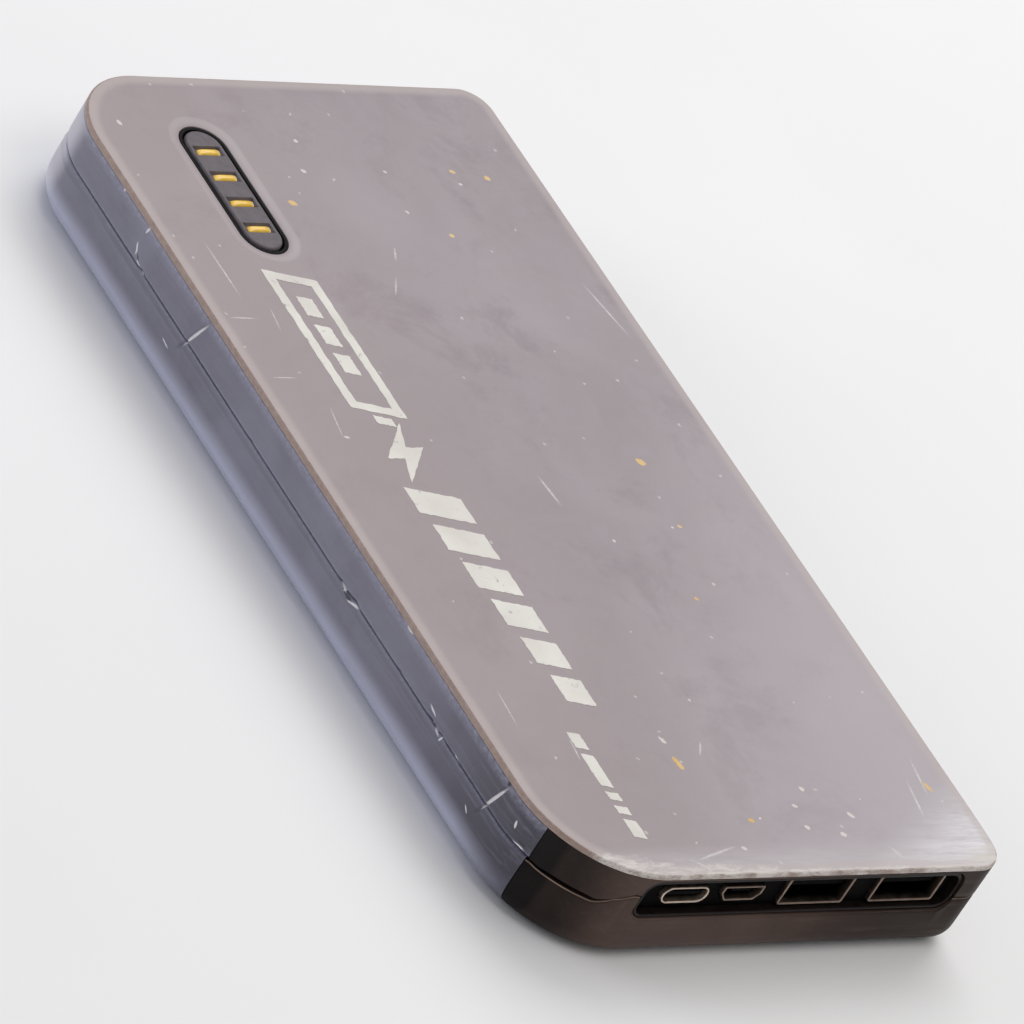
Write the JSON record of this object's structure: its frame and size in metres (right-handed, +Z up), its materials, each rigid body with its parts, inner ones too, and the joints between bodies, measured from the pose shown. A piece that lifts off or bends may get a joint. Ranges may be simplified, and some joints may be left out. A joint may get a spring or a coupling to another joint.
{
  "type": "power bank",
  "caption": "Slab power bank with rounded corners, a face plate, two-tone side bands, a pill button with charge lights, and an end window with USB sockets.",
  "frame": {"origin": "centre of the underside", "axes": "+X to the right seen from the port end, +Y from the port end to the far end, +Z up out of the face plate"},
  "size_m": [0.085, 0.17, 0.0179],
  "materials": {
    "face_plate": "worn matt mauve-grey paint",
    "face_print": "worn off-white print",
    "slate_frame": "worn satin slate plastic",
    "slate_shell": "worn satin slate plastic",
    "brown_cap": "satin dark brown plastic",
    "brown_bezel": "satin very dark brown plastic",
    "black_plastic": "matt black plastic",
    "black_rubber": "matt black elastomer",
    "button_grey": "satin slate plastic",
    "amber_window": "translucent amber plastic",
    "bright_shell": "bright nickel-plated steel",
    "port_shell": "dulled nickel-plated steel",
    "gold_contact": "gold-plated contact",
    "green_board": "green solder mask",
    "chip_black": "moulded chip package",
    "ferrite": "pressed ferrite",
    "can_aluminium": "capacitor can",
    "chip_ceramic": "ceramic chip parts",
    "screw_steel": "zinc-plated steel",
    "cell_foil": "laminated cell foil",
    "nickel_tab": "nickel strip",
    "red_lead": "silicone-covered lead",
    "tape_white": "double-sided tape",
    "foam_grey": "closed-cell foam",
    "led_lens": "light-emitting chip lens",
    "switch_metal": "stamped steel switch cover",
    "ribbon_amber": "polyimide ribbon"
  },
  "bodies": {
    "housing": {"top_panel": "face_plate", "face_marks": "face_print", "upper_frame": "slate_frame", "lower_shell": "slate_shell", "upper_end_cap": "brown_cap", "lower_end_cap": "brown_cap", "port_bezel": "brown_bezel", "port_plate": "black_plastic", "button_gasket": "black_rubber", "usb_c_shell": "bright_shell", "usb_c_tongue": "black_plastic", "usb_c_contacts": "gold_contact", "micro_usb_shell": "port_shell", "micro_usb_tongue": "black_plastic", "micro_usb_contacts": "gold_contact", "usb_a_first_shell": "port_shell", "usb_a_first_tongue": "black_plastic", "usb_a_first_contacts": "gold_contact", "usb_a_second_shell": "port_shell", "usb_a_second_tongue": "black_plastic", "usb_a_second_contacts": "gold_contact", "main_board": "green_board", "board_screws": "screw_steel", "port_risers": "black_plastic", "controller_chip": "chip_black", "power_transistors": "chip_black", "power_inductor": "ferrite", "bulk_capacitors": "can_aluminium", "small_parts": "chip_ceramic", "cell_lower": "cell_foil", "cell_upper": "cell_foil", "cell_tabs": "nickel_tab", "guard_board": "green_board", "power_leads": "red_lead", "cell_tape": "tape_white", "top_foam": "foam_grey", "indicator_carrier": "black_plastic", "indicator_board": "green_board", "indicator_leds": "led_lens", "switch_body": "switch_metal", "switch_dome": "switch_metal", "indicator_ribbon": "ribbon_amber"},
    "button": {"button_cap": "button_grey", "light_bars": "amber_window", "switch_plunger": "chip_black"}
  },
  "joints": [
    {"name": "button_press", "type": "slide", "parent": "housing", "child": "button", "axis": [0, 0, -1], "range_m": [0, 0.0004], "stiffness_N_per_m": 3500}
  ]
}
